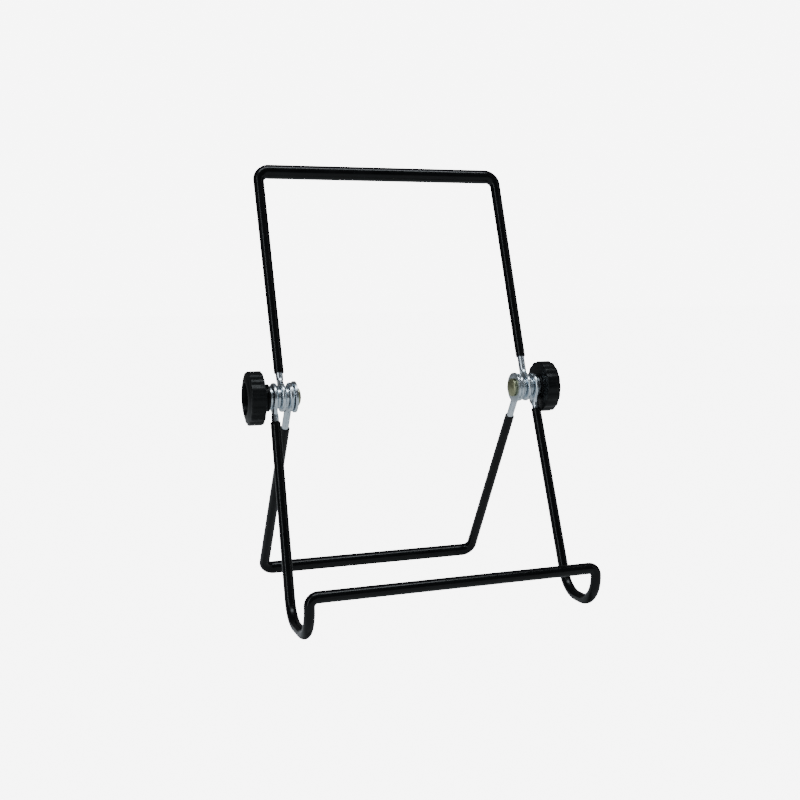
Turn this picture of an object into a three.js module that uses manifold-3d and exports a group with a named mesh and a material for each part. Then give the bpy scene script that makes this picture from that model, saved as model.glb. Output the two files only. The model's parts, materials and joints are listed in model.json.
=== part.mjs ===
// Folding wire stand for a photo album: three steel wire frames, dipped in black vinyl, that meet
// on one axis at two clamp hinges, each drawn tight by a bolt and a hand knob.
// Millimetres, +Z up, +X to the right seen from the front. The front faces -Y.
import * as THREE from "three";
import { mergeVertices } from "three/addons/utils/BufferGeometryUtils.js";
import Module from "manifold-3d";

const wasm = await Module();
wasm.setup();

// The stance, with the front hooks and the rear bar on the floor.
const PIVOT_HEIGHT = 97.5;
const FRONT_TILT = 19.2; // degrees, the front legs reach forward of the pivot
const UPPER_LEAN = 19.2; // degrees, the upper frame leans back
const REAR_SPREAD = 35; // degrees, the rear legs reach back from the pivot

// The three frames.
const FRONT_EYE_X = 65.2; // middle of the stand to the middle of a front frame eye
const UPPER_LENGTH = 112.7; // pivot to the middle of the top bar
const FRONT_SPLAY = 1.8; // each front leg spreads this much on its way to the floor
const UPPER_SPLAY = 0.5;
const REAR_SPLAY = 0.7;
const WIRE_RADIUS = 1.7;
const TOP_BEND = 1.5; // bend radii are on the inside of the dipped wire
const REAR_BEND = 1.3;
const HOOK_BEND = 11;
const LIP_BEND = 0.95;
// The hooks are bent by hand, so the left one reaches a little further than the right one.
const HOOK_FLAT = { left: 9.1, right: 4.3 }; // the straight on the floor, between two bends
const HOOK_RISE = { left: 1.04, right: 0.14 }; // the straight between the hook's bend and the lip's

// The vinyl dip over the wire, thin on the legs and thick where it ran together on the bars.
const DIP_GAP = 0.08; // between the wire and the dip
const EDGE_DIP = 0.62; // at the dip's ends
const UPPER_LEG_DIP = 0.9;
const TOP_BAR_DIP = 1.8;
const REAR_LEG_DIP = 0.9;
const REAR_BAR_DIP = 1.6;
const FRONT_LEG_DIP = 0.72; // and round the hooks
const LIP_BAR_DIP = 0.95;
const UPPER_BARE = { left: 0.8, right: 5 }; // end of the eye's neck to the edge of the dip
const FRONT_BARE = { left: 0.8, right: 0.3 };
const REAR_BARE = { left: 8, right: 7.4 };

// The clamp hinge.
const FACE_GAP = 0.1; // between faces that press together
const BOLT_RADIUS = 2.5;
const BOLT_CLEARANCE = 0.2; // radial, in eyes, washers and the nut
const BOLT_CHAMFER = 0.6;
const HEAD_LEDGE = 1.9; // the head stands out this far round the shank
const HEAD_HEIGHT = 2.4;
const HEAD_DOME = 1.3; // the domed part of that height
const SPACER_WALL = 2.3; // hole to rim
const SPACER_THICKNESS = 1.2;
const HEAD_WASHER_WALL = 4.6;
const HEAD_WASHER_THICKNESS = 1.3;
const KNOB_WASHER_WALL = 2.8;
const KNOB_WASHER_THICKNESS = 1;

// The eyes: the wire's ends hammered flat and punched for the bolt.
const EYE_WALL = 4.1; // hole to rim
const EYE_THICKNESS = 2.4;
const EYE_EDGE = 0.3; // chamfer round the flat
const EYE_SHOULDER = 36; // degrees round the rim from the leg to where the neck leaves it
const TAIL_START = 0.3; // rim of the eye to where the round wire rises out of the flat
const TAIL_LENGTH = 2.9; // from there to where the wire is full round
const TAIL_INSET = 0.15; // the tail starts this far inside the flat
const NECK_END = 0.6; // the flat ends this far past the tail

// The knob and its nut.
const KNOB_RADIUS = 12.5;
const RIM_LENGTH = 6.65;
const RIM_EDGE = 0.5; // chamfer on the rim's inner edge
const HUB_WALL = 1.5; // round the corners of the nut
const HUB_LENGTH = { left: 3.2, right: 0.5 }; // the left knob stands further off its washer
const LOBES = 16;
const FLUTE_DEPTH = 0.35;
const DOME_HEIGHT = 1.1;
const DOME_FULLNESS = 0.75; // share of that height reached half way in from the rim
const DOME_EDGE = 0.8; // the rounded corner outside the dome
const RECESS_RADIUS = 7.4;
const KNOB_FLOOR = 1.5; // between the recess and the hole for the bolt's end
const NUT_WALL = 1.3; // hole to the middle of a flat
const NUT_HEIGHT = 2.7;
const NUT_CLEARANCE = 0.15;
const NUT_DEPTH = 0.4; // the nut sits this far inside the hub
const BLIND_DEPTH = 0.85; // the hole for the bolt's end, past the nut's pocket
const BOLT_END_ROOM = 0.5;

// Facets.
const TUBE_SIDES = 12;
const BEND_STEP = 15; // degrees of bend between rings
const ROUND_SIDES = 24;
const DOME_STEPS = 4;
const POINTS_PER_LOBE = 4;
const HEX_SIDES = 6;
const MERGE_TOLERANCE = 1e-4;
const CUT_OVERRUN = 0.15; // a cut starts this far outside what it cuts
const DRAWN_WALL = 0.5; // a tube's section before its outer corners move out

const radians = THREE.MathUtils.degToRad;
const SIDES = ["left", "right"];
const signOf = { left: -1, right: 1 };
const flatOf = (radius) => radius * Math.cos(Math.PI / TUBE_SIDES);
const dipped = (thickness) => WIRE_RADIUS + thickness;

const HOLE_RADIUS = BOLT_RADIUS + BOLT_CLEARANCE;
const HEAD_RADIUS = BOLT_RADIUS + HEAD_LEDGE;
const EYE_RADIUS = HOLE_RADIUS + EYE_WALL;
const NUT_FLATS = 2 * (HOLE_RADIUS + NUT_WALL);
const POCKET_FLATS = NUT_FLATS + 2 * NUT_CLEARANCE;
const HUB_RADIUS = cornerOf(POCKET_FLATS) + HUB_WALL;
const POCKET_END = NUT_DEPTH + NUT_HEIGHT + NUT_CLEARANCE;
const BLIND_END = POCKET_END + BLIND_DEPTH;
const RECESS_FLOOR = BLIND_END + KNOB_FLOOR;

// Places down a leg, from the pivot.
const TAIL_AT = EYE_RADIUS + TAIL_START;
const FULL_WIRE_AT = TAIL_AT + TAIL_LENGTH;
const NECK_LENGTH = FULL_WIRE_AT + NECK_END;

// Places along the bolt, from the middle of the stand outwards.
const STACK_PITCH = EYE_THICKNESS + SPACER_THICKNESS + 2 * FACE_GAP;
const UPPER_EYE_X = FRONT_EYE_X - STACK_PITCH;
const REAR_EYE_X = UPPER_EYE_X - STACK_PITCH;
const FRONT_SPACER_X = UPPER_EYE_X + EYE_THICKNESS / 2 + FACE_GAP;
const REAR_SPACER_X = REAR_EYE_X + EYE_THICKNESS / 2 + FACE_GAP;
const HEAD_WASHER_X = REAR_EYE_X - EYE_THICKNESS / 2 - FACE_GAP - HEAD_WASHER_THICKNESS;
const HEAD_X = HEAD_WASHER_X - FACE_GAP - HEAD_HEIGHT;
const KNOB_WASHER_X = FRONT_EYE_X + EYE_THICKNESS / 2 + FACE_GAP;
const KNOB_X = KNOB_WASHER_X + KNOB_WASHER_THICKNESS + FACE_GAP;
const BOLT_LENGTH = KNOB_X + BLIND_END - BOLT_END_ROOM - HEAD_X;

function finish(name, colour, roughness, metalness) {
  return new THREE.MeshStandardMaterial({ name, color: colour, roughness, metalness });
}

const zinc = () => finish("zinc", 0xb9bec4, 0.35, 0.9);
const vinyl = () => finish("vinyl", 0x0b0c0d, 0.25, 0);
const chromate = () => finish("chromate", 0x85886a, 0.4, 0.7);
const plastic = () => finish("plastic", 0x101214, 0.5, 0);
const brass = () => finish("brass", 0xb08d4a, 0.4, 0.9);

function solidOf(geometry) {
  const bare = geometry.clone();
  bare.deleteAttribute("normal");
  bare.deleteAttribute("uv");
  const merged = mergeVertices(bare, MERGE_TOLERANCE);
  const vertProperties = merged.attributes.position.array;
  const triVerts = new Uint32Array(merged.index.array);
  return new wasm.Manifold(new wasm.Mesh({ numProp: 3, vertProperties, triVerts }));
}

function geometryOf(solid) {
  const { vertProperties, triVerts } = solid.getMesh();
  const geometry = new THREE.BufferGeometry();
  geometry.setAttribute("position", new THREE.BufferAttribute(vertProperties, 3));
  geometry.setIndex(new THREE.BufferAttribute(triVerts, 1));
  geometry.computeVertexNormals();
  return geometry;
}

// The path of a bent wire: straights joined by arcs. It gives one ring at each end of a straight
// and one every BEND_STEP round an arc. Each corner is { at, bend, before, after }, where before
// and after are the tube's radius where it enters and leaves the bend.
class WirePath extends THREE.Curve {
  constructor(corners) {
    super();
    this.stations = [];
    corners.forEach((corner, i) => this.addCorner(corners[i - 1], corner, corners[i + 1]));
  }

  addCorner(last, corner, next) {
    const incoming = last && corner.at.clone().sub(last.at).normalize();
    const outgoing = next && next.at.clone().sub(corner.at).normalize();
    if (!corner.bend) {
      this.stations.push({ at: corner.at, tangent: incoming || outgoing, radius: corner.after });
      return;
    }
    const turn = incoming.angleTo(outgoing);
    const inward = outgoing.clone().addScaledVector(incoming, -incoming.dot(outgoing)).normalize();
    const centre = corner.at
      .clone()
      .addScaledVector(incoming, -corner.bend * Math.tan(turn / 2))
      .addScaledVector(inward, corner.bend);
    const steps = Math.ceil(turn / radians(BEND_STEP));
    for (let i = 0; i <= steps; i++) {
      const angle = (turn * i) / steps;
      const at = centre
        .clone()
        .addScaledVector(inward, -corner.bend * Math.cos(angle))
        .addScaledVector(incoming, corner.bend * Math.sin(angle));
      const tangent = incoming
        .clone()
        .multiplyScalar(Math.cos(angle))
        .addScaledVector(inward, Math.sin(angle));
      const radius = THREE.MathUtils.lerp(corner.before, corner.after, i / steps);
      this.stations.push({ at, tangent, radius });
    }
  }

  getSpacedPoints() {
    return this.stations.map((station) => station.at);
  }

  getTangentAt(u, target = new THREE.Vector3()) {
    const index = Math.round(u * (this.stations.length - 1));
    return target.copy(this.stations[index].tangent);
  }
}

function polygon(radius, sectionTurn) {
  const points = [];
  for (let i = 0; i < TUBE_SIDES; i++) {
    const angle = ((i + 0.5) / TUBE_SIDES) * 2 * Math.PI + sectionTurn;
    points.push(new THREE.Vector2(radius * Math.cos(angle), radius * Math.sin(angle)));
  }
  return points;
}

// A tube along a wire path. The section is drawn once at a small size, and then each ring's outer
// corners move out to the radius that the path has there. With a bore, the tube is hollow.
function tube(corners, sectionTurn, bore = 0) {
  const path = new WirePath(corners);
  const section = new THREE.Shape(polygon(bore + DRAWN_WALL, sectionTurn));
  if (bore) section.holes.push(new THREE.Path(polygon(bore, sectionTurn)));
  const geometry = new THREE.ExtrudeGeometry(section, {
    steps: path.stations.length - 1,
    extrudePath: path,
    bevelEnabled: false,
  });
  const position = geometry.attributes.position;
  const offset = new THREE.Vector3();
  for (let i = 0; i < position.count; i++) {
    offset.fromBufferAttribute(position, i);
    const ring = nearest(path.stations, offset);
    offset.sub(ring.at);
    const isOuter = offset.length() > bore + DRAWN_WALL / 2;
    if (isOuter) offset.setLength(ring.radius);
    offset.add(ring.at);
    position.setXYZ(i, offset.x, offset.y, offset.z);
  }
  return geometry;
}

function nearest(stations, point) {
  let best = stations[0];
  for (const station of stations) {
    if (station.at.distanceToSquared(point) < best.at.distanceToSquared(point)) best = station;
  }
  return best;
}

// One frame: two legs that leave the pivot axis in the same direction, and what joins their ends.
class Frame {
  constructor(eyeX, splay, direction, legLength) {
    this.eyeX = eyeX;
    this.splay = splay;
    this.direction = direction;
    this.legLength = legLength;
  }

  legPoint(side, distance) {
    const x = signOf[side] * (this.eyeX + (this.splay * distance) / this.legLength);
    const y = this.direction.y * distance;
    const z = PIVOT_HEIGHT + this.direction.z * distance;
    return new THREE.Vector3(x, y, z);
  }

  // The corners from the left leg's start to the right leg's. rings(side) lists a tube's radius at
  // distances down the straight of the leg, and bends(side) that side's corners after it.
  corners(rings, bends) {
    const half = (side) => [
      ...rings(side).map(([distance, radius]) => ({ at: this.legPoint(side, distance), after: radius })),
      ...bends(side),
    ];
    const back = half("right").reverse();
    const turned = back.map((c) => (c.bend ? { ...c, before: c.after, after: c.before } : c));
    return [...half("left"), ...turned];
  }
}

// The bare wire of a frame with its tapered tails and flat eyes, in one piece.
function wireWithEyes(frame, bends, sectionTurn) {
  const plain = (side) => bends(side).map((c) => ({ ...c, before: WIRE_RADIUS, after: WIRE_RADIUS }));
  const tail = () => [
    [TAIL_AT, EYE_THICKNESS / 2 - TAIL_INSET],
    [FULL_WIRE_AT, WIRE_RADIUS],
  ];
  const wire = solidOf(tube(frame.corners(tail, plain), sectionTurn));
  const eyes = SIDES.map((side) => solidOf(eye(frame, side)));
  return geometryOf(wire.add(eyes[0]).add(eyes[1]));
}

function eye(frame, side) {
  const outline = new THREE.Shape();
  const reach = EYE_RADIUS - EYE_EDGE;
  const halfNeck = WIRE_RADIUS - EYE_EDGE;
  const shoulder = radians(EYE_SHOULDER);
  outline.moveTo(NECK_LENGTH, -halfNeck);
  outline.lineTo(NECK_LENGTH, halfNeck);
  outline.lineTo(reach * Math.cos(shoulder), reach * Math.sin(shoulder));
  outline.absarc(0, 0, reach, shoulder, 2 * Math.PI - shoulder, false);
  outline.closePath();
  const hole = new THREE.Path();
  hole.absarc(0, 0, HOLE_RADIUS + EYE_EDGE, 0, 2 * Math.PI, true);
  outline.holes.push(hole);
  const depth = EYE_THICKNESS - 2 * EYE_EDGE;
  const geometry = new THREE.ExtrudeGeometry(outline, {
    depth,
    curveSegments: ROUND_SIDES / 2,
    bevelThickness: EYE_EDGE,
    bevelSize: EYE_EDGE,
    bevelSegments: 1,
  });
  const across = new THREE.Vector3(1, 0, 0);
  const sideways = new THREE.Vector3().crossVectors(across, frame.direction);
  const basis = new THREE.Matrix4().makeBasis(frame.direction, sideways, across);
  geometry.translate(0, 0, -depth / 2).applyMatrix4(basis);
  return geometry.translate(signOf[side] * frame.eyeX, 0, PIVOT_HEIGHT);
}

function coating(frame, bareLengths, bends, sectionTurn) {
  const edge = (side) => [[NECK_LENGTH + bareLengths[side], dipped(EDGE_DIP)]];
  return tube(frame.corners(edge, bends), sectionTurn, WIRE_RADIUS + DIP_GAP);
}

// The upper frame: an arch that the album leans on.
const upperFrame = new Frame(
  UPPER_EYE_X,
  UPPER_SPLAY,
  new THREE.Vector3(0, Math.sin(radians(UPPER_LEAN)), Math.cos(radians(UPPER_LEAN))),
  UPPER_LENGTH,
);
const upperBends = (side) => [
  {
    at: upperFrame.legPoint(side, UPPER_LENGTH),
    bend: TOP_BEND + dipped(TOP_BAR_DIP),
    before: dipped(UPPER_LEG_DIP),
    after: dipped(TOP_BAR_DIP),
  },
];

// The rear frame: a prop whose bar lies on the floor, with one facet of the bar facing down.
const rearDown = PIVOT_HEIGHT - flatOf(dipped(REAR_BAR_DIP));
const rearLength = rearDown / Math.cos(radians(REAR_SPREAD));
const rearFrame = new Frame(
  REAR_EYE_X,
  REAR_SPLAY,
  new THREE.Vector3(0, Math.sin(radians(REAR_SPREAD)), -Math.cos(radians(REAR_SPREAD))),
  rearLength,
);
const rearBends = (side) => [
  {
    at: rearFrame.legPoint(side, rearLength),
    bend: REAR_BEND + dipped(REAR_BAR_DIP),
    before: dipped(REAR_LEG_DIP),
    after: dipped(REAR_BAR_DIP),
  },
];

// The front frame: legs, a hook forward at each foot, and a lip bar that keeps the album in.
const hookRadius = dipped(FRONT_LEG_DIP);
const hookHeight = flatOf(hookRadius);
const frontLength = (PIVOT_HEIGHT - hookHeight) / Math.cos(radians(FRONT_TILT));
const frontFrame = new Frame(
  FRONT_EYE_X,
  FRONT_SPLAY,
  new THREE.Vector3(0, -Math.sin(radians(FRONT_TILT)), -Math.cos(radians(FRONT_TILT))),
  frontLength,
);
function frontBends(side) {
  const lipRadius = dipped(LIP_BAR_DIP);
  const hookBend = HOOK_BEND + hookRadius;
  const lipBend = LIP_BEND + lipRadius;
  const footTangent = hookBend * Math.tan(radians(90 - FRONT_TILT) / 2);
  const foot = frontFrame.legPoint(side, frontLength);
  const toe = foot.clone();
  toe.y -= footTangent + HOOK_FLAT[side] + hookBend;
  const lip = toe.clone();
  lip.z += hookBend + HOOK_RISE[side] + lipBend;
  return [
    { at: foot, bend: hookBend, before: hookRadius, after: hookRadius },
    { at: toe, bend: hookBend, before: hookRadius, after: hookRadius },
    { at: lip, bend: lipBend, before: hookRadius, after: lipRadius },
  ];
}

// A turned piece, drawn as [radius, place along the bolt] and laid with its axis along X.
function turned(profile) {
  const points = profile.map(([radius, along]) => new THREE.Vector2(radius, along));
  return new THREE.LatheGeometry(points, ROUND_SIDES).rotateZ(-Math.PI / 2);
}

function washer(wall, thickness) {
  const rim = HOLE_RADIUS + wall;
  return turned([
    [HOLE_RADIUS, 0],
    [rim, 0],
    [rim, thickness],
    [HOLE_RADIUS, thickness],
    [HOLE_RADIUS, 0],
  ]);
}

// A bolt with a low domed head. Its place is the inner face of the head.
function bolt() {
  const dome = [];
  for (let i = 0; i <= DOME_STEPS; i++) {
    const angle = (i / DOME_STEPS) * (Math.PI / 2);
    dome.push([HEAD_RADIUS * Math.sin(angle), HEAD_DOME * (1 - Math.cos(angle))]);
  }
  return turned([
    ...dome,
    [HEAD_RADIUS, HEAD_HEIGHT],
    [BOLT_RADIUS, HEAD_HEIGHT],
    [BOLT_RADIUS, BOLT_LENGTH - BOLT_CHAMFER],
    [BOLT_RADIUS - BOLT_CHAMFER, BOLT_LENGTH],
    [0, BOLT_LENGTH],
  ]);
}

function cornerOf(flats) {
  return flats / 2 / Math.cos(Math.PI / HEX_SIDES);
}

// A hexagonal prism along X.
function hexagon(flats, length, bore) {
  const corner = cornerOf(flats);
  const points = [];
  for (let i = 0; i < HEX_SIDES; i++) {
    const angle = (i / HEX_SIDES) * 2 * Math.PI;
    points.push(new THREE.Vector2(corner * Math.cos(angle), corner * Math.sin(angle)));
  }
  const outline = new THREE.Shape(points);
  if (bore) {
    const hole = new THREE.Path();
    hole.absarc(0, 0, bore, 0, 2 * Math.PI, true);
    outline.holes.push(hole);
  }
  const options = { depth: length, bevelEnabled: false, curveSegments: ROUND_SIDES / 2 };
  return new THREE.ExtrudeGeometry(outline, options).rotateY(Math.PI / 2);
}

function lobedPrism(length) {
  const points = [];
  const count = LOBES * POINTS_PER_LOBE;
  for (let i = 0; i < count; i++) {
    const angle = (i / count) * 2 * Math.PI;
    const dip = (FLUTE_DEPTH * (1 - Math.cos(LOBES * angle))) / 2;
    const radius = KNOB_RADIUS - dip;
    points.push(new THREE.Vector2(radius * Math.cos(angle), radius * Math.sin(angle)));
  }
  const options = { depth: length, bevelEnabled: false };
  return new THREE.ExtrudeGeometry(new THREE.Shape(points), options).rotateY(Math.PI / 2);
}

// A moulded hand knob: a hub, a lobed rim, and a domed face round a recess. The nut's pocket and
// the blind hole for the bolt's end open at the hub.
function knob(hubLength) {
  const face = hubLength + RIM_LENGTH;
  const top = face + DOME_HEIGHT;
  const outside = KNOB_RADIUS + FACE_GAP;
  const cornerCut = DOME_EDGE * (1 - Math.SQRT1_2);
  const domeStart = KNOB_RADIUS - DOME_EDGE;
  const blank = turned([
    [0, 0],
    [HUB_RADIUS, 0],
    [HUB_RADIUS, hubLength],
    [KNOB_RADIUS - RIM_EDGE, hubLength],
    [outside, hubLength + RIM_EDGE],
    [outside, face - DOME_EDGE],
    [KNOB_RADIUS - cornerCut, face - cornerCut],
    [domeStart, face],
    [(domeStart + RECESS_RADIUS) / 2, face + DOME_HEIGHT * DOME_FULLNESS],
    [RECESS_RADIUS, top],
    [RECESS_RADIUS, RECESS_FLOOR],
    [0, RECESS_FLOOR],
  ]);
  const pocket = hexagon(POCKET_FLATS, CUT_OVERRUN + POCKET_END, 0).translate(-CUT_OVERRUN, 0, 0);
  const blind = turned([
    [0, NUT_DEPTH],
    [HOLE_RADIUS, NUT_DEPTH],
    [HOLE_RADIUS, BLIND_END],
    [0, BLIND_END],
  ]);
  const lobed = solidOf(blank).intersect(solidOf(lobedPrism(top)));
  return geometryOf(lobed.subtract(solidOf(pocket)).subtract(solidOf(blind)));
}

function piece(name, geometry, material, place = 0) {
  const mesh = new THREE.Mesh(geometry, material);
  mesh.name = name;
  mesh.position.x = place;
  return mesh;
}

// One clamp hinge. Its own +X runs outwards along the bolt.
function clamp(side) {
  const group = new THREE.Group();
  group.add(
    piece(`${side}_bolt`, bolt(), chromate(), HEAD_X),
    piece(
      `${side}_head_washer`,
      washer(HEAD_WASHER_WALL, HEAD_WASHER_THICKNESS),
      zinc(),
      HEAD_WASHER_X,
    ),
    piece(`${side}_rear_spacer`, washer(SPACER_WALL, SPACER_THICKNESS), zinc(), REAR_SPACER_X),
    piece(`${side}_front_spacer`, washer(SPACER_WALL, SPACER_THICKNESS), zinc(), FRONT_SPACER_X),
    piece(
      `${side}_knob_washer`,
      washer(KNOB_WASHER_WALL, KNOB_WASHER_THICKNESS),
      zinc(),
      KNOB_WASHER_X,
    ),
    piece(`${side}_knob`, knob(HUB_LENGTH[side]), plastic(), KNOB_X),
    piece(
      `${side}_knob_nut`,
      hexagon(NUT_FLATS, NUT_HEIGHT, HOLE_RADIUS),
      brass(),
      KNOB_X + NUT_DEPTH,
    ),
  );
  group.position.z = PIVOT_HEIGHT;
  group.rotation.z = side === "left" ? Math.PI : 0;
  return group;
}

const stand = new THREE.Group();
const rearTurn = -radians(REAR_SPREAD);
stand.add(
  piece("upper_frame_wire", wireWithEyes(upperFrame, upperBends, 0), zinc()),
  piece("upper_frame_coating", coating(upperFrame, UPPER_BARE, upperBends, 0), vinyl()),
  piece("front_frame_wire", wireWithEyes(frontFrame, frontBends, 0), zinc()),
  piece("front_frame_coating", coating(frontFrame, FRONT_BARE, frontBends, 0), vinyl()),
  piece("rear_frame_wire", wireWithEyes(rearFrame, rearBends, rearTurn), zinc()),
  piece("rear_frame_coating", coating(rearFrame, REAR_BARE, rearBends, rearTurn), vinyl()),
  clamp("left"),
  clamp("right"),
);

// The origin is on the floor, under the middle of the stand both ways.
const bounds = new THREE.Box3().setFromObject(stand, true);
const middle = bounds.getCenter(new THREE.Vector3());
stand.position.set(-middle.x, -middle.y, -bounds.min.z);
const part = new THREE.Group();
part.add(stand);

export default part;
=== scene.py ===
import json
import math

import bmesh
import bpy
from mathutils import Euler, Matrix, Vector


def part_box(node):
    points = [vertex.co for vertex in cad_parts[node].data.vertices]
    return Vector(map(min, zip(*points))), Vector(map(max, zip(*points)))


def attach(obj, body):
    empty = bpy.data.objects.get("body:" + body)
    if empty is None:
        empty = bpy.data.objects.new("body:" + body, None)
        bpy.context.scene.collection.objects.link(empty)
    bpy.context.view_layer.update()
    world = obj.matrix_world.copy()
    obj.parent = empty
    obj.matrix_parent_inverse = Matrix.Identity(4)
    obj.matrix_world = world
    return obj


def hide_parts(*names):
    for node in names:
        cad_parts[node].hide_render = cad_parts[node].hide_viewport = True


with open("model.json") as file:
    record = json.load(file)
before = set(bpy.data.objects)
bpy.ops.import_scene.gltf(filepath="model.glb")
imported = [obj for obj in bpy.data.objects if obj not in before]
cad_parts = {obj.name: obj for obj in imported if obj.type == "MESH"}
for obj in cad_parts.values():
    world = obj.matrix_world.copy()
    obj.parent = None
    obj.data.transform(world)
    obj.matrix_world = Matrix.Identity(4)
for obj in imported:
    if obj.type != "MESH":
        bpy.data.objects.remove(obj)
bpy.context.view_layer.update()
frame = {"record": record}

# The stand is shown on a plain pale floor under soft studio light. The camera stands in front of
# it, to the left and a little above the pivots.
MM = 0.001

CAMERA_PLACE = (-172.8 * MM, -495.8 * MM, 137.8 * MM)
CAMERA_YAW = math.radians(18.96)
CAMERA_PITCH = math.radians(-4.80)
CAMERA_ROLL = math.radians(-0.95)
CAMERA_LENS = 49.75
SENSOR_WIDTH = 36
NEAREST_SEEN = 10 * MM

FLOOR_SIZE = 60.0
FLOOR_WHITE = (0.94, 0.94, 0.94, 1)
FLOOR_ROUGHNESS = 0.9
ROOM_WHITE = (0.96, 0.98, 1, 1)
PURE_WHITE = (1, 1, 1, 1)
BACKDROP_GLOW = 7.5
FLOOR_GLOW_SHARE = 0.97
ROOM_GLOW = 0.1
LAMP_COLOUR = (0.88, 0.95, 1.0)
AIM = Vector((0, 0, 0.1))  # about the pivots' height


def add_camera():
    data = bpy.data.cameras.new("camera")
    data.sensor_width = SENSOR_WIDTH
    data.lens = CAMERA_LENS
    data.clip_start = NEAREST_SEEN
    camera = bpy.data.objects.new("camera", data)
    camera.location = CAMERA_PLACE
    aim = Euler((math.radians(90) + CAMERA_PITCH, 0, -CAMERA_YAW), "XYZ").to_matrix()
    roll = Matrix.Rotation(CAMERA_ROLL, 3, "Z")
    camera.rotation_euler = (aim @ roll).to_euler()
    bpy.context.scene.collection.objects.link(camera)
    bpy.context.scene.camera = camera


def glow_for_camera(tree, plain, glow, output, share):
    """Shows the camera a bright glow where all else meets the plain surface."""
    seen = tree.nodes.new("ShaderNodeLightPath")
    part = tree.nodes.new("ShaderNodeMath")
    part.operation = "MULTIPLY"
    part.inputs[1].default_value = share
    choose = tree.nodes.new("ShaderNodeMixShader")
    tree.links.new(seen.outputs["Is Camera Ray"], part.inputs[0])
    tree.links.new(part.outputs["Value"], choose.inputs["Fac"])
    tree.links.new(plain, choose.inputs[1])
    tree.links.new(glow, choose.inputs[2])
    tree.links.new(choose.outputs["Shader"], tree.nodes[output].inputs["Surface"])


def add_floor():
    bm = bmesh.new()
    bmesh.ops.create_grid(bm, x_segments=1, y_segments=1, size=FLOOR_SIZE / 2)
    mesh = bpy.data.meshes.new("floor")
    bm.to_mesh(mesh)
    bm.free()
    floor = bpy.data.objects.new("floor", mesh)
    paint = bpy.data.materials.new("pale_floor")
    paint.use_nodes = True
    tree = paint.node_tree
    shader = tree.nodes["Principled BSDF"]
    shader.inputs["Base Color"].default_value = FLOOR_WHITE
    shader.inputs["Roughness"].default_value = FLOOR_ROUGHNESS
    glow = tree.nodes.new("ShaderNodeEmission")
    glow.inputs["Strength"].default_value = BACKDROP_GLOW
    glow_for_camera(
        tree, shader.outputs["BSDF"], glow.outputs["Emission"], "Material Output", FLOOR_GLOW_SHARE
    )
    mesh.materials.append(paint)
    bpy.context.scene.collection.objects.link(floor)


def add_softbox(name, place, size, power):
    data = bpy.data.lights.new(name, "AREA")
    data.shape = "RECTANGLE"
    data.size, data.size_y = size
    data.energy = power
    data.color = LAMP_COLOUR
    light = bpy.data.objects.new(name, data)
    light.location = place
    light.rotation_euler = (AIM - Vector(place)).to_track_quat("-Z", "Y").to_euler()
    bpy.context.scene.collection.objects.link(light)


def add_room():
    """A bright plain backdrop, and a dim room that the glossy wires reflect."""
    world = bpy.data.worlds.new("studio")
    world.use_nodes = True
    tree = world.node_tree
    room = tree.nodes["Background"]
    room.inputs["Color"].default_value = ROOM_WHITE
    room.inputs["Strength"].default_value = ROOM_GLOW
    backdrop = tree.nodes.new("ShaderNodeBackground")
    backdrop.inputs["Color"].default_value = PURE_WHITE
    backdrop.inputs["Strength"].default_value = BACKDROP_GLOW
    glow_for_camera(
        tree, room.outputs["Background"], backdrop.outputs["Background"], "World Output", 1
    )
    bpy.context.scene.world = world


add_camera()
add_floor()
add_room()
add_softbox("top_softbox", place=(0, -0.4, 1.7), size=(1.6, 0.3), power=20)
add_softbox("left_softbox", place=(-1.2, -0.75, 0.45), size=(0.1, 1.5), power=7)
add_softbox("right_softbox", place=(1.3, -0.8, 0.6), size=(0.08, 1.1), power=1.2)

# The front frame is the longest wire: two legs, a hook forward at each foot, and the lip bar
# that keeps the album from sliding off. It is 3.4 mm bright zinc-plated steel, bent cold, with
# its ends hammered into flat eyes, and then all but its tips is dipped in black vinyl.
JOINTS = {joint["name"]: joint for joint in frame["record"]["behaviour"]["joints"]}
PIVOT = Vector(JOINTS["upper_frame_tilt"]["pos_m"])
LEFT, RIGHT = -1, 1
SIDE_NAME = {LEFT: "left", RIGHT: "right"}
ACROSS = Vector((1, 0, 0))

WIRE_RADIUS = 1.7 * MM
EYE_RADIUS = 6.75 * MM
EYE_HALF_THICKNESS = 1.12 * MM
EYE_HOLE = 2.7 * MM
EYE_HOLE_REACH = 3 * MM
PEG_SIDES = 64
NECK_HALF_WIDTH = 2.2 * MM
NECK_START = 5.3 * MM  # from the pivot, where the eye's rim runs out into the neck
FLAT_END = 6.6 * MM  # the eye and its washers are flat up to here
NECK_END = 9.2 * MM  # where the wire is round again
DIP_GAP = 0.05 * MM
DIP_LIP = 0.5 * MM
DIP_EDGE_RADIUS = 2.3 * MM
DIP_EDGE_BLUNT = 0.12 * MM
DIP_LIP_SHARES = (0.08, 0.25, 0.5, 0.75, 1.0)
TUBE_SIDES = 40
EYE_RINGS = 44
NECK_RINGS = 14
WIRE_STEP = 4 * MM
DIP_STEP = 2.5 * MM
WHOLE_STRAIGHT = 1000 * MM  # longer than any straight, so that each is one step
BEND_STEP = math.radians(5)
SOFT_EDGE = math.radians(40)


class Leg:
    """A straight leg that leaves the pivot axis at an angle from straight up, towards the back."""

    def __init__(self, eye_x, splay, angle, length):
        self.eye_x = eye_x
        self.splay = splay
        self.angle = angle
        self.length = length

    def place(self, side, distance):
        x = PIVOT.x + side * (self.eye_x + self.splay * distance / self.length)
        y = PIVOT.y + math.sin(self.angle) * distance
        z = PIVOT.z + math.cos(self.angle) * distance
        return Vector((x, y, z))


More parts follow.
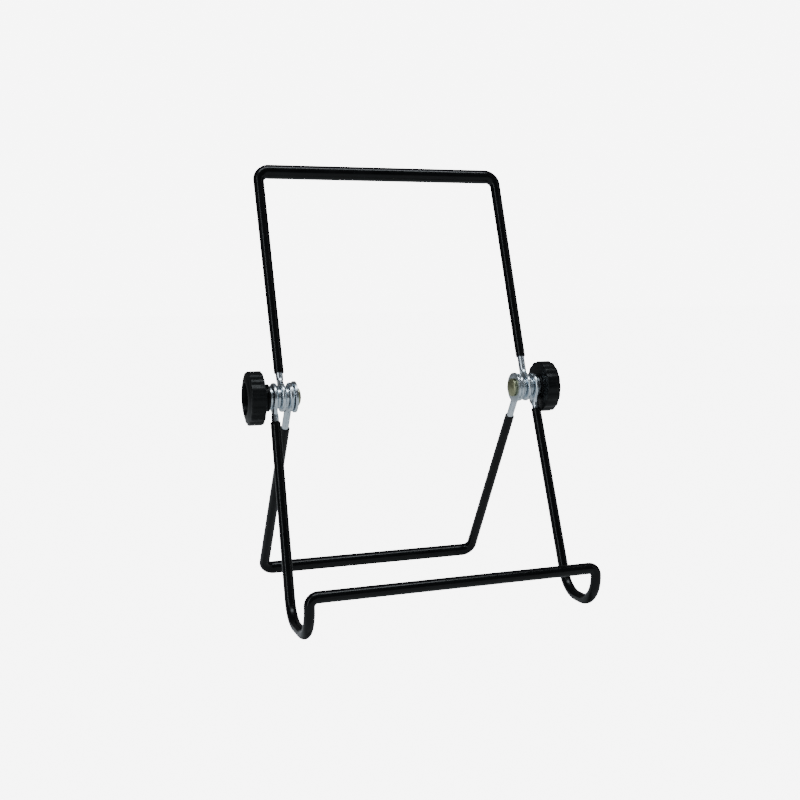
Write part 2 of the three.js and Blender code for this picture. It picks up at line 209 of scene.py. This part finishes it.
class Tube:
    """Pulls a ring along straights and round bends. A flattened ring is a round one whose two
    halves have moved apart sideways by its spread."""

    def __init__(self, bm, place, direction, radius, spread=0.0):
        self.bm = bm
        self.place = place.copy()
        self.direction = direction.normalized()
        self.radius = radius
        self.spread = 0.0
        ring = bmesh.ops.create_circle(bm, segments=TUBE_SIDES, radius=radius)["verts"]
        half_step = Matrix.Rotation(math.pi / TUBE_SIDES, 3, "Z")
        bmesh.ops.rotate(bm, verts=ring, cent=(0, 0, 0), matrix=half_step)
        sideways = self.direction.cross(ACROSS).normalized()
        facing = Matrix((self.direction.cross(sideways), sideways, -self.direction)).transposed()
        bmesh.ops.rotate(bm, verts=ring, cent=(0, 0, 0), matrix=facing)
        bmesh.ops.translate(bm, verts=ring, vec=place)
        self.edges = list({edge for vert in ring for edge in vert.link_edges})
        self.spread_halves(ring, spread)
        self.first_edges = self.edges

    def spread_halves(self, ring, spread):
        sideways = self.direction.cross(ACROSS)
        if spread == self.spread or sideways.length == 0:
            return
        sideways.normalize()
        change = sideways * (spread - self.spread)
        half = [vert for vert in ring if (vert.co - self.place).dot(sideways) > 0]
        other = [vert for vert in ring if vert not in half]
        bmesh.ops.translate(self.bm, verts=half, vec=change)
        bmesh.ops.translate(self.bm, verts=other, vec=-change)
        self.spread = spread

    def pull(self, radius, move=None, turn=None, spread=0.0):
        made = bmesh.ops.extrude_edge_only(self.bm, edges=self.edges)["geom"]
        self.edges = [g for g in made if isinstance(g, bmesh.types.BMEdge) and g.is_boundary]
        ring = list({vert for edge in self.edges for vert in edge.verts})
        self.spread_halves(ring, 0.0)
        if move:
            bmesh.ops.translate(self.bm, verts=ring, vec=move)
            self.place += move
        if turn:
            centre, matrix = turn
            bmesh.ops.rotate(self.bm, verts=ring, cent=centre, matrix=matrix)
            self.place = centre + matrix @ (self.place - centre)
            self.direction = matrix @ self.direction
        share = radius / self.radius
        bmesh.ops.scale(
            self.bm, verts=ring, vec=(share, share, share), space=Matrix.Translation(-self.place)
        )
        self.radius = radius
        self.spread_halves(ring, spread)

    def straight(self, target, radius, step):
        gap = target - self.place
        steps = max(1, math.ceil(gap.length / step))
        start_radius = self.radius
        for i in range(steps):
            wanted = start_radius + (radius - start_radius) * (i + 1) / steps
            self.pull(wanted, move=gap / steps)

    def bend(self, outgoing, bend_radius, radius):
        axis = self.direction.cross(outgoing).normalized()
        centre = self.place + axis.cross(self.direction) * bend_radius
        turn = self.direction.angle(outgoing)
        steps = math.ceil(turn / BEND_STEP)
        matrix = Matrix.Rotation(turn / steps, 3, axis)
        start_radius = self.radius
        for i in range(steps):
            wanted = start_radius + (radius - start_radius) * (i + 1) / steps
            self.pull(wanted, turn=(centre, matrix))

    def through(self, corners, step):
        """corners are (place, radius) on a straight, or (place, radius before, bend, radius
        after) where the wire turns."""
        for i, corner in enumerate(corners):
            if len(corner) == 2:
                self.straight(corner[0], corner[1], step)
                continue
            place, before, bend, after = corner
            outgoing = (corners[i + 1][0] - place).normalized()
            turn = self.direction.angle(outgoing)
            self.straight(place - self.direction * bend * math.tan(turn / 2), before, step)
            self.bend(outgoing, bend, after)


def both_halves(half):
    """The corners of the left half, then the right half run backwards."""
    back = [c if len(c) == 2 else (c[0], c[3], c[2], c[1]) for c in reversed(half(RIGHT))]
    return half(LEFT) + back


def finish_piece(name, bm, material, body, node):
    mesh = bpy.data.meshes.new(name)
    bmesh.ops.recalc_face_normals(bm, faces=bm.faces)
    for face in bm.faces:
        face.smooth = True
    bm.to_mesh(mesh)
    bm.free()
    mesh.set_sharp_from_angle(angle=SOFT_EDGE)
    mesh.materials.append(material)
    piece = bpy.data.objects.new(name, mesh)
    bpy.context.scene.collection.objects.link(piece)
    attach(piece, body)
    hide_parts(node)


def cut_away(bm, tool):
    """Cuts one closed shape out of another and gives what is left."""
    pair = []
    for shape in (bm, tool):
        bmesh.ops.recalc_face_normals(shape, faces=shape.faces)
        mesh = bpy.data.meshes.new("cutting")
        shape.to_mesh(mesh)
        shape.free()
        pair.append(bpy.data.objects.new("cutting", mesh))
        bpy.context.scene.collection.objects.link(pair[-1])
    cut = pair[0].modifiers.new("cut", "BOOLEAN")
    cut.operation = "DIFFERENCE"
    cut.solver = "EXACT"
    cut.object = pair[1]
    graph = bpy.context.evaluated_depsgraph_get()
    left = bmesh.new()
    left.from_mesh(pair[0].evaluated_get(graph).to_mesh())
    for used in pair:
        mesh = used.data
        bpy.data.objects.remove(used)
        bpy.data.meshes.remove(mesh)
    return left


def peg(radius, start_x, end_x, sides=PEG_SIDES):
    """A closed round rod along the pivot axis, to cut holes with."""
    bm = bmesh.new()
    ring = bmesh.ops.create_circle(bm, cap_ends=True, segments=sides, radius=radius)["verts"]
    upright = Matrix.Rotation(math.radians(90), 3, "Y")
    bmesh.ops.rotate(bm, verts=ring, cent=(0, 0, 0), matrix=upright)
    bmesh.ops.translate(bm, verts=ring, vec=(start_x, PIVOT.y, PIVOT.z))
    end = bmesh.ops.extrude_face_region(bm, geom=bm.faces[:])["geom"]
    end_verts = [g for g in end if isinstance(g, bmesh.types.BMVert)]
    bmesh.ops.translate(bm, verts=end_verts, vec=(end_x - start_x, 0, 0))
    return bm


def hammered_end():
    """Rings from the far rim of the eye to the round wire: (distance, radius, spread)."""
    rings = []
    rim_radius = EYE_RADIUS - EYE_HALF_THICKNESS
    last_angle = math.acos(NECK_START / EYE_RADIUS)
    for i in range(1, EYE_RINGS + 1):
        angle = math.pi - (math.pi - last_angle) * i / EYE_RINGS
        distance = EYE_RADIUS * math.cos(angle)
        past_rim = max(0.0, abs(distance) - rim_radius)
        in_eye = distance < 0
        thickness = math.sqrt(EYE_HALF_THICKNESS**2 - past_rim**2) if in_eye else EYE_HALF_THICKNESS
        width = max(EYE_RADIUS * math.sin(angle), thickness)
        rings.append((distance, thickness, width - thickness))
    start_width = EYE_RADIUS * math.sin(last_angle)
    for i in range(1, NECK_RINGS + 1):
        share = i / NECK_RINGS
        distance = NECK_START + (NECK_END - NECK_START) * share
        narrowing = (1 - share) ** 3
        past_flat = max(0.0, (distance - FLAT_END) / (NECK_END - FLAT_END))
        rounding = past_flat * past_flat * (3 - 2 * past_flat)
        thickness = EYE_HALF_THICKNESS + (WIRE_RADIUS - EYE_HALF_THICKNESS) * rounding
        neck_width = NECK_HALF_WIDTH + (WIRE_RADIUS - NECK_HALF_WIDTH) * rounding
        width = neck_width + (start_width - NECK_HALF_WIDTH) * narrowing
        rings.append((distance, thickness, width - thickness))
    return rings


def wire_piece(name, bends, leg, body):
    """The whole wire, from one hammered eye to the other, with a hole through each eye."""
    bm = bmesh.new()
    rings = hammered_end()
    distance, radius, spread = rings[0]
    start = leg.place(LEFT, distance)
    tube = Tube(bm, start, leg.place(LEFT, leg.length) - start, radius, spread)
    for distance, radius, spread in rings[1:]:
        tube.pull(radius, move=leg.place(LEFT, distance) - tube.place, spread=spread)

    def bare(side):
        return [(c[0], WIRE_RADIUS, c[2], WIRE_RADIUS) for c in bends(side)]

    turns = both_halves(bare)
    tube.through(turns + [(leg.place(RIGHT, rings[-1][0]), WIRE_RADIUS)], WIRE_STEP)
    for distance, radius, spread in reversed(rings[:-1]):
        tube.pull(radius, move=leg.place(RIGHT, distance) - tube.place, spread=spread)
    bmesh.ops.edgeloop_fill(bm, edges=tube.first_edges)
    bmesh.ops.edgeloop_fill(bm, edges=tube.edges)
    for side in (LEFT, RIGHT):
        middle = PIVOT.x + side * leg.eye_x
        bm = cut_away(bm, peg(EYE_HOLE, middle - EYE_HOLE_REACH, middle + EYE_HOLE_REACH))
    finish_piece(name, bm, ZINC, body, name)


def dip_piece(name, bends, leg, bare, body, node):
    """The vinyl dip: a sleeve over the wire, with a rounded lip at each end."""
    bore = WIRE_RADIUS + DIP_GAP
    lip_start = bore + DIP_EDGE_BLUNT

    def outside(side):
        lip = []
        for share in DIP_LIP_SHARES:
            rise = (DIP_EDGE_RADIUS - lip_start) * math.sqrt(1 - (1 - share) ** 2)
            lip.append((leg.place(side, bare[side] + DIP_LIP * share), lip_start + rise))
        return lip + bends(side)

    def inside(side):
        plain = [(c[0], bore, c[2], bore) for c in bends(side)]
        return [(leg.place(side, bare[side]), bore)] + plain

    bm = bmesh.new()
    start, end = leg.place(LEFT, bare[LEFT]), leg.place(RIGHT, bare[RIGHT])
    direction = leg.place(LEFT, leg.length) - start
    outer = Tube(bm, start, direction, lip_start)
    outer.through(both_halves(outside) + [(end, lip_start)], DIP_STEP)
    inner = Tube(bm, start, direction, bore)
    inner.through(both_halves(inside)[1:], WHOLE_STRAIGHT)
    bmesh.ops.bridge_loops(bm, edges=outer.first_edges + inner.first_edges)
    bmesh.ops.bridge_loops(bm, edges=outer.edges + inner.edges)
    finish_piece(name, bm, VINYL, body, node)


class Finish:
    """A material made up from soft, cloudy patterns at several sizes."""

    def __init__(self, name, **plain):
        self.material = bpy.data.materials.new(name)
        self.material.use_nodes = True
        self.nodes = self.material.node_tree.nodes
        self.links = self.material.node_tree.links
        self.shader = self.nodes["Principled BSDF"]
        self.where = self.nodes.new("ShaderNodeTexCoord").outputs["Object"]
        self.bumps = None
        for socket, value in plain.items():
            self.shader.inputs[socket.replace("_", " ")].default_value = value

    def clouds(self, per_metre, detail=3.0, stretch=(1, 1, 1)):
        turn = self.nodes.new("ShaderNodeMapping")
        turn.inputs["Scale"].default_value = stretch
        pattern = self.nodes.new("ShaderNodeTexNoise")
        pattern.inputs["Scale"].default_value = per_metre
        pattern.inputs["Detail"].default_value = detail
        self.links.new(self.where, turn.inputs["Vector"])
        self.links.new(turn.outputs["Vector"], pattern.inputs["Vector"])
        return pattern.outputs["Fac"]

    def vary(self, socket, pattern, low, high, start=0.3, end=0.7):
        ramp = self.nodes.new("ShaderNodeValToRGB")
        for stop, place, shade in zip(ramp.color_ramp.elements, (start, end), (low, high)):
            stop.position = place
            stop.color = (*shade, 1) if isinstance(shade, tuple) else (shade, shade, shade, 1)
        self.links.new(pattern, ramp.inputs["Fac"])
        self.links.new(ramp.outputs["Color"], self.shader.inputs[socket])

    def dent(self, pattern, strength, height):
        bump = self.nodes.new("ShaderNodeBump")
        bump.inputs["Strength"].default_value = strength
        bump.inputs["Distance"].default_value = height
        self.links.new(pattern, bump.inputs["Height"])
        if self.bumps:
            self.links.new(self.bumps, bump.inputs["Normal"])
        self.bumps = bump.outputs["Normal"]
        self.links.new(self.bumps, self.shader.inputs["Normal"])


def bright_zinc():
    """Barrel-plated zinc: bluish white, lightly scuffed, with a trace of the hammer's dents."""
    zinc = Finish("bright_zinc", Metallic=1.0)
    zinc.vary("Base Color", zinc.clouds(150, 4), (0.56, 0.64, 0.70), (0.74, 0.80, 0.85))
    zinc.vary("Roughness", zinc.clouds(420, 3), 0.20, 0.36)
    zinc.dent(zinc.clouds(110, 1), 0.08, 0.3 * MM)
    zinc.dent(zinc.clouds(500, 2, (1, 0.2, 1)), 0.02, 0.05 * MM)
    return zinc.material


def black_vinyl():
    """Dipped vinyl: glossy black with a faint orange-peel skin and dull handling marks."""
    vinyl = Finish("black_vinyl", Specular_IOR_Level=0.2)
    vinyl.vary("Base Color", vinyl.clouds(90, 4), (0.0012, 0.0015, 0.0018), (0.0045, 0.005, 0.0055))
    vinyl.vary("Roughness", vinyl.clouds(150, 5), 0.16, 0.26)
    vinyl.dent(vinyl.clouds(420, 2), 0.05, 0.06 * MM)
    vinyl.dent(vinyl.clouds(60, 1), 0.1, 0.3 * MM)
    return vinyl.material


ZINC = bright_zinc()
VINYL = black_vinyl()

HOOK_RADIUS = 2.35 * MM
HOOK_BEND = 13.42 * MM
LIP_BAR_RADIUS = 2.56 * MM
LIP_BEND = 3.6 * MM
HOOK_CENTRE = 2.38 * MM
HOOK_FLAT = {LEFT: 9.1 * MM, RIGHT: 4.3 * MM}
HOOK_RISE = {LEFT: 1.04 * MM, RIGHT: 0.14 * MM}
FRONT_TILT = math.radians(19.2)
FRONT_EYE_X = 65.2 * MM
FRONT_SPLAY = 1.8 * MM
FRONT_BARE = {LEFT: 11.4 * MM, RIGHT: 10.9 * MM}
hook_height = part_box("front_frame_coating")[0].z + HOOK_CENTRE
front_length = (PIVOT.z - hook_height) / math.cos(FRONT_TILT)
front_leg = Leg(FRONT_EYE_X, FRONT_SPLAY, math.pi + FRONT_TILT, front_length)


def front_bends(side):
    foot = front_leg.place(side, front_length)
    toe = foot.copy()
    toe.y -= HOOK_BEND * math.tan((math.pi / 2 - FRONT_TILT) / 2) + HOOK_FLAT[side] + HOOK_BEND
    lip = toe.copy()
    lip.z += HOOK_BEND + HOOK_RISE[side] + LIP_BEND
    return [
        (foot, HOOK_RADIUS, HOOK_BEND, HOOK_RADIUS),
        (toe, HOOK_RADIUS, HOOK_BEND, HOOK_RADIUS),
        (lip, HOOK_RADIUS, LIP_BEND, LIP_BAR_RADIUS),
    ]


wire_piece("front_frame_wire", front_bends, front_leg, "front_frame")
dip_piece(
    "front_frame_dip",
    front_bends,
    front_leg,
    FRONT_BARE,
    "front_frame",
    "front_frame_coating",
)

# The upper frame is one length of the same wire bent into an arch, which the album leans on. The
# dip is thin on its legs and thicker on the bar, where it ran together as it dried.
TOP_BAR_RADIUS = 3.42 * MM
UPPER_LEG_RADIUS = 2.56 * MM
TOP_BEND = 5 * MM
UPPER_LEAN = math.radians(19.2)
UPPER_EYE_X = 61.4 * MM
UPPER_SPLAY = 0.5 * MM
UPPER_LENGTH = 112.7 * MM
UPPER_BARE = {LEFT: 11.4 * MM, RIGHT: 15.6 * MM}
upper_leg = Leg(UPPER_EYE_X, UPPER_SPLAY, UPPER_LEAN, UPPER_LENGTH)


def upper_bends(side):
    corner = upper_leg.place(side, UPPER_LENGTH)
    return [(corner, UPPER_LEG_RADIUS, TOP_BEND, TOP_BAR_RADIUS)]


wire_piece("upper_frame_wire", upper_bends, upper_leg, "upper_frame")
dip_piece(
    "upper_frame_dip",
    upper_bends,
    upper_leg,
    UPPER_BARE,
    "upper_frame",
    "upper_frame_coating",
)

# The rear frame is a prop: two legs that swing back from the pivot to a bar on the floor, where
# the dip is thick again.
REAR_BAR_RADIUS = 3.18 * MM
REAR_BAR_CENTRE = 3.19 * MM
REAR_LEG_RADIUS = 2.56 * MM
REAR_BEND = 4.9 * MM
REAR_SPREAD = math.radians(35)
REAR_EYE_X = 57.6 * MM
REAR_SPLAY = 0.7 * MM
REAR_BARE = {LEFT: 18.6 * MM, RIGHT: 18.0 * MM}
rear_down = PIVOT.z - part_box("rear_frame_coating")[0].z - REAR_BAR_CENTRE
rear_length = rear_down / math.cos(REAR_SPREAD)
rear_leg = Leg(REAR_EYE_X, REAR_SPLAY, math.pi - REAR_SPREAD, rear_length)


def rear_bends(side):
    corner = rear_leg.place(side, rear_length)
    return [(corner, REAR_LEG_RADIUS, REAR_BEND, REAR_BAR_RADIUS)]


wire_piece("rear_frame_wire", rear_bends, rear_leg, "rear_frame")
dip_piece(
    "rear_frame_dip",
    rear_bends,
    rear_leg,
    REAR_BARE,
    "rear_frame",
    "rear_frame_coating",
)

# Each hinge turns on a 5 mm steel bolt pushed through from the inside. Its low domed head and its
# shank are plated and dulled to an olive yellow, and the thread is rolled at the knob's end.
BOLT_RADIUS = 2.5 * MM
HEAD_RADIUS = 4.4 * MM
HEAD_HEIGHT = 2.4 * MM
THREAD_PITCH = 0.8 * MM
THREAD_DEPTH = 0.42 * MM
THREAD_LENGTH = 9.6 * MM
THREAD_CLEAR = 1.2 * MM  # the smooth point at the end
POINT_CHAMFER = 0.6 * MM
DOME_RADIUS = 4.1 * MM
DOME_DEPTH = 1.1 * MM
DOME_ARC = math.radians(62)
DOME_RINGS = 12
HEAD_SIDE_START = 1.4 * MM
FILLET_STEPS = 5
TURNING_STEPS = 96
WELD = 0.002 * MM


def rounded(corners):
    """Swaps each corner (along, out, fillet) of an outline for a short arc."""
    points = []
    for i, (along, out, fillet) in enumerate(corners):
        here = Vector((along, out))
        if not fillet:
            points.append(here)
            continue
        before = (Vector(corners[i - 1][:2]) - here).normalized()
        after = (Vector(corners[(i + 1) % len(corners)][:2]) - here).normalized()
        half = before.angle(after) / 2
        centre = here + (before + after).normalized() * (fillet / math.sin(half))
        start = here + before * (fillet / math.tan(half)) - centre
        finish = here + after * (fillet / math.tan(half)) - centre
        way = 1 if start.cross(finish) > 0 else -1
        for k in range(FILLET_STEPS + 1):
            turn = Matrix.Rotation(way * (math.pi - 2 * half) * k / FILLET_STEPS, 2)
            points.append(centre + turn @ start)
    return points


def turned(points, start_x, side, closed=False, steps=TURNING_STEPS):
    """Turns an outline round the pivot axis. Its along runs outwards, away from the middle."""
    bm = bmesh.new()
    verts = [bm.verts.new((start_x + side * p.x, PIVOT.y, PIVOT.z + p.y)) for p in points]
    ends = verts[1:] + verts[:1] if closed else verts[1:]
    edges = [bm.edges.new(pair) for pair in zip(verts, ends)]
    bmesh.ops.spin(
        bm,
        geom=verts + edges,
        cent=PIVOT,
        axis=ACROSS,
        angle=2 * math.pi,
        steps=steps,
        use_merge=True,
    )
    bmesh.ops.remove_doubles(bm, verts=bm.verts, dist=WELD)
    return bm


def inner_face(node, side):
    low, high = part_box(node)
    return high.x if side == LEFT else low.x


def thickness(node):
    low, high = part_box(node)
    return high.x - low.x


def bolt_outline(length):
    dome = []
    for i in range(DOME_RINGS + 1):
        angle = DOME_ARC * i / DOME_RINGS
        out = DOME_RADIUS * math.sin(angle) / math.sin(DOME_ARC)
        along = DOME_DEPTH * (1 - math.cos(angle)) / (1 - math.cos(DOME_ARC))
        dome.append((along, out, 0))
    shank = [
        (HEAD_SIDE_START, HEAD_RADIUS, 0.2 * MM),
        (HEAD_HEIGHT, HEAD_RADIUS, 0.2 * MM),
        (HEAD_HEIGHT, BOLT_RADIUS, 0),
    ]
    thread = []
    along = length - THREAD_LENGTH
    while along < length - THREAD_CLEAR:
        thread.append((along, BOLT_RADIUS, 0))
        thread.append((along + THREAD_PITCH / 2, BOLT_RADIUS - THREAD_DEPTH, 0))
        along += THREAD_PITCH
    end = [
        (along, BOLT_RADIUS, 0),
        (length, BOLT_RADIUS - POINT_CHAMFER, 0.1 * MM),
        (length, 0, 0),
    ]
    return rounded(dome + shank + thread + end)


def yellow_chromate():
    """Yellow chromate over zinc, worn to olive, with a darker bloom and fine turning marks."""
    chromate = Finish("yellow_chromate", Metallic=0.85)
    chromate.vary("Base Color", chromate.clouds(420, 5), (0.25, 0.26, 0.15), (0.42, 0.42, 0.27))
    chromate.vary("Roughness", chromate.clouds(900, 3), 0.28, 0.5)
    chromate.dent(chromate.clouds(800, 4), 0.3, 0.08 * MM)
    return chromate.material


CHROMATE = yellow_chromate()
for side, label in SIDE_NAME.items():
    node = f"{label}_bolt"
    shape = turned(bolt_outline(thickness(node)), inner_face(node, side), side)
    finish_piece(node, shape, CHROMATE, "front_frame", node)

# Stamped zinc-plated washers: a wide one under each bolt head, a spacer on each side of the upper
# frame's eye, and a thin one under the knob that turns with it. The die leaves one edge rounded.
WASHER_HOLE = 2.7 * MM
WASHER_RADIUS = {
    "head_washer": 7.25 * MM,
    "rear_spacer": 4.95 * MM,
    "front_spacer": 4.95 * MM,
    "knob_washer": 5.45 * MM,
}


def washer_outline(radius, thick):
    return rounded(
        [
            (0, WASHER_HOLE, 0.1 * MM),
            (thick, WASHER_HOLE, 0.2 * MM),
            (thick, radius, 0.3 * MM),
            (0, radius, 0.1 * MM),
        ]
    )


for side, label in SIDE_NAME.items():
    for kind, radius in WASHER_RADIUS.items():
        node = f"{label}_{kind}"
        outline = washer_outline(radius, thickness(node))
        shape = turned(outline, inner_face(node, side), side, closed=True)
        body = node if kind == "knob_washer" else "front_frame"
        finish_piece(node, shape, ZINC, body, node)

# The two hand knobs are moulded in black plastic, with shallow flutes round the rim for grip, a
# domed face round a deep recess, and a six-sided pocket for the nut in the hub.
KNOB_RADIUS = 12.45 * MM
RIM_LENGTH = 6.65 * MM
HUB_RADIUS = 6.3 * MM
HUB_FILLET = 0.15 * MM
GROOVED_HUB = 1 * MM
GROOVE_RADIUS = 0.92 * HUB_RADIUS
HUB_STEP_RADIUS = 1.05 * HUB_RADIUS
FACE_BEND = 1.2 * MM  # from the rim in to where the face starts to dome
FACE_HEIGHT = 1.05 * MM
FACE_RINGS = 8
FACE_ROOM = 1.1 * MM
RECESS_RADIUS = 7.4 * MM
RECESS_FLOOR = 5.6 * MM
RECESS_DRAFT = 0.25 * MM
GATE_RADIUS = 2.0 * MM  # the stub left where the plastic was let in
GATE_HEIGHT = 0.25 * MM
FLUTES = 16
FLUTE_DEPTH = 0.4 * MM
FLUTE_START = 10.9 * MM
NUT_POCKET = 4.79 * MM
POCKET_DEPTH = 3.25 * MM
BLIND_END = 4.1 * MM
CUT_ROOM = 1 * MM
KNOB_STEPS = 192


def hub_outline(hub_length):
    """The hub, from the axis to the rim's inner face. The long hub has a groove round it."""
    if hub_length < GROOVED_HUB:
        return [
            (0, 0, 0),
            (0, HUB_RADIUS, HUB_FILLET),
            (hub_length, HUB_RADIUS, HUB_FILLET),
        ]
    return [
        (0, 0, 0),
        (0, HUB_RADIUS, 0.2 * MM),
        (0.28 * hub_length, HUB_RADIUS, HUB_FILLET),
        (0.36 * hub_length, GROOVE_RADIUS, HUB_FILLET),
        (0.52 * hub_length, GROOVE_RADIUS, HUB_FILLET),
        (0.62 * hub_length, HUB_STEP_RADIUS, 0.2 * MM),
        (hub_length, HUB_STEP_RADIUS, 0.3 * MM),
    ]


def knob_outline(hub_length):
    face = hub_length + RIM_LENGTH
    rim = [
        (hub_length, KNOB_RADIUS, 0.45 * MM),
        (hub_length + RIM_LENGTH / 2, KNOB_RADIUS, 0),
        (face, KNOB_RADIUS, 0.7 * MM),
    ]
    dome = []
    for i in range(1, FACE_RINGS + 1):
        share = i / FACE_RINGS
        out = KNOB_RADIUS - FACE_BEND - share * (KNOB_RADIUS - FACE_BEND - RECESS_RADIUS)
        along = face + FACE_HEIGHT * math.sin(share * math.pi / 2)
        dome.append((along, out, 0.3 * MM if i == FACE_RINGS else 0))
    recess = [
        (RECESS_FLOOR, RECESS_RADIUS - RECESS_DRAFT, 0.5 * MM),
        (RECESS_FLOOR, GATE_RADIUS + 0.2 * MM, 0.1 * MM),
        (RECESS_FLOOR + GATE_HEIGHT, GATE_RADIUS, 0.1 * MM),
        (RECESS_FLOOR + GATE_HEIGHT, 0, 0),
    ]
    return rounded(hub_outline(hub_length) + rim + dome + recess)


def flute(bm):
    """Presses shallow flutes into the rim, fading out towards the hub and the face."""
    for vert in bm.verts:
        spoke = Vector((0, vert.co.y - PIVOT.y, vert.co.z - PIVOT.z))
        share = (spoke.length - FLUTE_START) / (KNOB_RADIUS - FLUTE_START)
        if share <= 0:
            continue
        angle = math.atan2(spoke.y, spoke.z)
        depth = FLUTE_DEPTH * ((1 - math.cos(FLUTES * angle)) / 2) ** 1.5
        vert.co -= spoke.normalized() * depth * share * share * (3 - 2 * share)


def black_plastic():
    """Moulded plastic: satin black with a fine spark-eroded grain and palm-polished patches."""
    plastic = Finish("black_plastic", Specular_IOR_Level=0.2)
    shades = (0.0012, 0.0016, 0.002), (0.004, 0.0046, 0.0052)
    plastic.vary("Base Color", plastic.clouds(120, 4), *shades)
    plastic.vary("Roughness", plastic.clouds(180, 5), 0.30, 0.48)
    plastic.dent(plastic.clouds(2600, 2), 0.12, 0.03 * MM)
    plastic.dent(plastic.clouds(140, 2), 0.06, 0.2 * MM)
    return plastic.material


PLASTIC = black_plastic()
for side, label in SIDE_NAME.items():
    node = f"{label}_knob"
    start = inner_face(node, side)
    hub_length = thickness(node) - RIM_LENGTH - FACE_ROOM
    shape = turned(knob_outline(hub_length), start, side, steps=KNOB_STEPS)
    off_corners = Matrix.Rotation(0.5 * math.pi / KNOB_STEPS, 3, ACROSS)
    bmesh.ops.rotate(shape, verts=shape.verts, cent=PIVOT, matrix=off_corners)
    flute(shape)
    pocket = peg(NUT_POCKET, start - side * CUT_ROOM, start + side * POCKET_DEPTH, sides=6)
    shape = cut_away(shape, pocket)
    shape = cut_away(shape, peg(WASHER_HOLE, start + side * CUT_ROOM, start + side * BLIND_END))
    finish_piece(node, shape, PLASTIC, f"{label}_knob", node)

# Each knob carries a brass hexagon nut, pressed into its pocket. It shows only when the knob is
# off the bolt.
NUT_CORNER = 4.6 * MM
NUT_BEVEL = 0.2 * MM


def raw_brass():
    """Bar brass, turned bright and a little tarnished."""
    brass = Finish("raw_brass", Metallic=1.0)
    brass.vary("Base Color", brass.clouds(500, 4), (0.42, 0.28, 0.10), (0.68, 0.49, 0.20))
    brass.vary("Roughness", brass.clouds(800, 4), 0.2, 0.4)
    brass.dent(brass.clouds(1200, 3, (0.2, 1, 1)), 0.2, 0.05 * MM)
    return brass.material


BRASS = raw_brass()
for side, label in SIDE_NAME.items():
    node = f"{label}_knob_nut"
    low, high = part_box(node)
    shape = peg(NUT_CORNER, low.x, high.x, sides=6)
    bmesh.ops.bevel(
        shape,
        geom=shape.edges[:],
        offset=NUT_BEVEL,
        affect="EDGES",
        segments=2,
        profile=0.5,
        material=-1,
    )
    shape = cut_away(shape, peg(WASHER_HOLE, low.x - CUT_ROOM, high.x + CUT_ROOM))
    finish_piece(node, shape, BRASS, f"{label}_knob", node)
